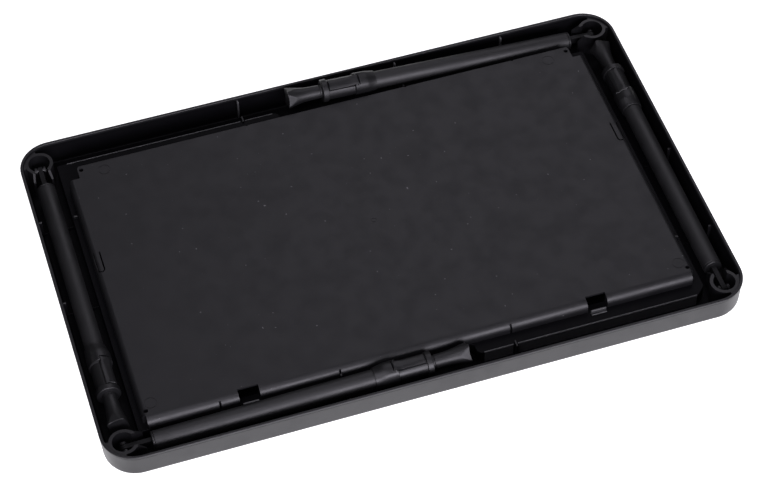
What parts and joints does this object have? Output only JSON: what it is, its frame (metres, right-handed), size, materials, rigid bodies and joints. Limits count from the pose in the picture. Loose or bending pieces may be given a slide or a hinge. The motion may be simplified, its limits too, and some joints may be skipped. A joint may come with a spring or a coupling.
{
  "type": "folding tray table",
  "caption": "Black plastic folding tray table stored on its tabletop, with telescoping legs stowed in a channel round a raised cover panel.",
  "frame": {"origin": "centre of the tabletop's outer face", "axes": "+X along the long side, +Z out of the open underside, away from the tabletop"},
  "size_m": [0.5996, 0.3816, 0.043],
  "materials": {
    "shell": "fine-grained semi-matte black moulding",
    "panel": "fine-grained semi-matte black moulding",
    "tube": "satin black",
    "clamp": "satin black",
    "foot": "semi-matte black",
    "steel": "plain steel pins and screws"
  },
  "bodies": {
    "tray": {"tray_shell": "shell", "cover_panel": "panel", "cover_screw_1": "steel", "cover_screw_2": "steel", "cover_screw_3": "steel", "cover_screw_4": "steel", "front_pivot_pin": "steel", "right_pivot_pin": "steel", "back_pivot_pin": "steel", "left_pivot_pin": "steel"},
    "front_leg": {"front_leg_link": "tube", "front_tube_plug": "clamp", "front_outer_tube": "tube", "front_clamp_collar": "clamp", "front_lever_pin": "steel"},
    "front_extension": {"front_inner_tube": "tube", "front_guide_bush": "clamp", "front_foot": "foot"},
    "front_lever": {"front_clamp_lever": "clamp"},
    "right_leg": {"right_leg_link": "tube", "right_tube_plug": "clamp", "right_outer_tube": "tube", "right_clamp_collar": "clamp", "right_lever_pin": "steel"},
    "right_extension": {"right_inner_tube": "tube", "right_guide_bush": "clamp", "right_foot": "foot"},
    "right_lever": {"right_clamp_lever": "clamp"},
    "back_leg": {"back_leg_link": "tube", "back_tube_plug": "clamp", "back_outer_tube": "tube", "back_clamp_collar": "clamp", "back_lever_pin": "steel"},
    "back_extension": {"back_inner_tube": "tube", "back_guide_bush": "clamp", "back_foot": "foot"},
    "back_lever": {"back_clamp_lever": "clamp"},
    "left_leg": {"left_leg_link": "tube", "left_tube_plug": "clamp", "left_outer_tube": "tube", "left_clamp_collar": "clamp", "left_lever_pin": "steel"},
    "left_extension": {"left_inner_tube": "tube", "left_guide_bush": "clamp", "left_foot": "foot"},
    "left_lever": {"left_clamp_lever": "clamp"}
  },
  "joints": [
    {"name": "front_swing", "type": "hinge", "parent": "tray", "child": "front_leg", "pos_m": [-0.2804, -0.1683, 0.0155], "axis": [0, -1, 0], "range_deg": [0, 88.8]},
    {"name": "front_slide", "type": "slide", "parent": "front_leg", "child": "front_extension", "axis": [0.9998, 0, 0.0209], "range_m": [0, 0.156]},
    {"name": "front_lever_hinge", "type": "hinge", "parent": "front_leg", "child": "front_lever", "pos_m": [-0.03407, -0.1683, 0.03086], "axis": [0, -1, 0], "range_deg": [0, 95]},
    {"name": "right_swing", "type": "hinge", "parent": "tray", "child": "right_leg", "pos_m": [0.2804, -0.1683, 0.0155], "axis": [1, 0, 0], "range_deg": [0, 89]},
    {"name": "right_slide", "type": "slide", "parent": "right_leg", "child": "right_extension", "axis": [0, 0.9998, 0.0175], "range_m": [0, 0.156]},
    {"name": "right_lever_hinge", "type": "hinge", "parent": "right_leg", "child": "right_lever", "pos_m": [0.27691, 0.07809, 0.02939], "axis": [0.9397, -0.006, 0.342], "range_deg": [0, 95]},
    {"name": "back_swing", "type": "hinge", "parent": "tray", "child": "back_leg", "pos_m": [0.2804, 0.1683, 0.0155], "axis": [0, 1, 0], "range_deg": [0, 86.9]},
    {"name": "back_slide", "type": "slide", "parent": "back_leg", "child": "back_extension", "axis": [-0.9985, 0, 0.0541], "range_m": [0, 0.156]},
    {"name": "back_lever_hinge", "type": "hinge", "parent": "back_leg", "child": "back_lever", "pos_m": [0.03468, 0.16481, 0.03841], "axis": [0.0185, 0.9397, 0.3415], "range_deg": [0, 95]},
    {"name": "left_swing", "type": "hinge", "parent": "tray", "child": "left_leg", "pos_m": [-0.2804, 0.1683, 0.0155], "axis": [-1, 0, 0], "range_deg": [0, 89]},
    {"name": "left_slide", "type": "slide", "parent": "left_leg", "child": "left_extension", "axis": [0, -0.9998, 0.0175], "range_m": [0, 0.156]},
    {"name": "left_lever_hinge", "type": "hinge", "parent": "left_leg", "child": "left_lever", "pos_m": [-0.2753, -0.07811, 0.02864], "axis": [-0.866, 0.0087, 0.4999], "range_deg": [0, 95]}
  ],
  "couplings": [
    {"joint": "front_slide", "follows": "front_swing", "m_per_rad": 0.1},
    {"joint": "right_slide", "follows": "right_swing", "m_per_rad": 0.1},
    {"joint": "back_slide", "follows": "back_swing", "m_per_rad": 0.1},
    {"joint": "left_slide", "follows": "left_swing", "m_per_rad": 0.1}
  ]
}
